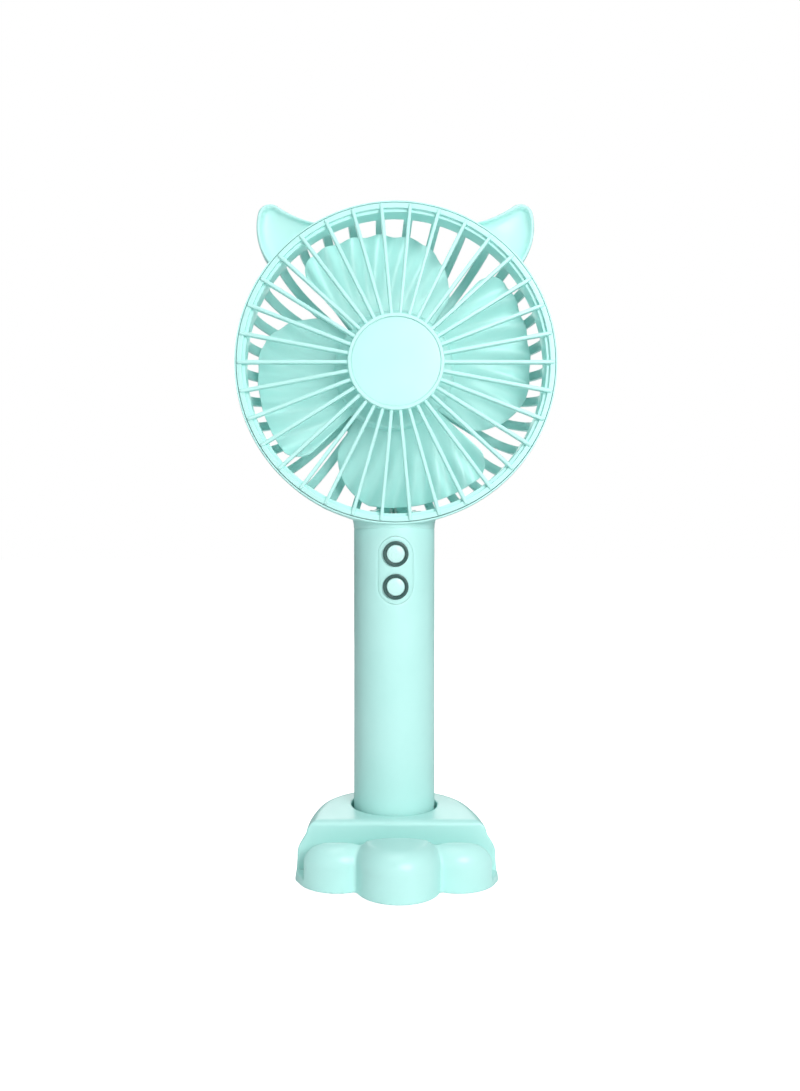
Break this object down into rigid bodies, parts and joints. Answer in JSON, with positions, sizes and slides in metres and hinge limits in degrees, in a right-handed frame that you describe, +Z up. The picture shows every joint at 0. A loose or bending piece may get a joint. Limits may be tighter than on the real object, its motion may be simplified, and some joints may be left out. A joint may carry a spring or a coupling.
{
  "type": "handheld electric fan",
  "caption": "Mint handheld fan with cat ears, round grille and petal blades, on a straight handle that stands in a paw-shaped holder with a phone groove.",
  "frame": {"origin": "on the table under the handle's axis, on the underside of the holder's anti-slip pad", "axes": "+Z is up along the handle, the fan blows toward -Y, +X is to the right seen from the front"},
  "size_m": [0.104, 0.066, 0.2162],
  "materials": {
    "holder_plastic": "satin gloss mint plastic",
    "housing_plastic": "satin gloss mint plastic",
    "grille_plastic": "satin gloss mint plastic",
    "impeller_plastic": "satin gloss mint plastic",
    "button_plastic": "satin gloss pale mint plastic",
    "ring_plastic": "dark grey-green gloss plastic",
    "pad_rubber": "matt dark rubber sheet",
    "screw_steel": "zinc plated steel",
    "yoke_steel": "plain pressed steel",
    "magnet_ferrite": "dark bonded ferrite",
    "clip_plastic": "white nylon",
    "bearing_brass": "turned brass and sintered bronze",
    "coil_copper": "enamelled copper wire",
    "board_laminate": "green circuit board",
    "component_black": "black moulded components",
    "contact_nickel": "nickel plated steel",
    "wire_jacket": "soft white wire jacket",
    "cell_wrap": "shrink-wrapped rechargeable cell"
  },
  "bodies": {
    "base": {"base_shell": "holder_plastic", "base_bottom_plate": "holder_plastic", "base_screws": "screw_steel", "base_pad": "pad_rubber"},
    "fan": {"rear_housing": "housing_plastic", "handle_front_shell": "housing_plastic", "handle_rear_shell": "housing_plastic", "tail_cap": "housing_plastic", "button_panel": "housing_plastic", "front_grille": "grille_plastic", "front_cap": "grille_plastic", "upper_button_ring": "ring_plastic", "lower_button_ring": "ring_plastic", "motor_screws": "screw_steel", "handle_screws": "screw_steel", "stator_core": "yoke_steel", "motor_mount": "bearing_brass", "bearing_front": "bearing_brass", "bearing_rear": "bearing_brass", "stator_coils": "coil_copper", "motor_board": "board_laminate", "control_board": "board_laminate", "charge_board": "board_laminate", "board_parts": "component_black", "tact_switches": "component_black", "usb_port": "contact_nickel", "battery_tabs": "contact_nickel", "motor_leads": "wire_jacket", "battery_leads": "wire_jacket", "battery_cell": "cell_wrap"},
    "rotor": {"impeller": "impeller_plastic", "rotor_yoke": "yoke_steel", "magnet_ring": "magnet_ferrite", "motor_shaft": "screw_steel", "shaft_clip": "clip_plastic"},
    "upper_button": {"upper_button": "button_plastic"},
    "lower_button": {"lower_button": "button_plastic"}
  },
  "joints": [
    {"name": "fan_lift", "type": "slide", "parent": "base", "child": "fan", "axis": [0, 0, 1], "range_m": [0, 0.03]},
    {"name": "blade_spin", "type": "hinge", "parent": "fan", "child": "rotor", "pos_m": [0, 0, 0.1637], "axis": [0, 1, 0], "continuous": true},
    {"name": "upper_press", "type": "slide", "parent": "fan", "child": "upper_button", "axis": [0, 1, 0], "range_m": [0, 0.0005], "stiffness_N_per_m": 2000},
    {"name": "lower_press", "type": "slide", "parent": "fan", "child": "lower_button", "axis": [0, 1, 0], "range_m": [0, 0.0005], "stiffness_N_per_m": 2000}
  ]
}
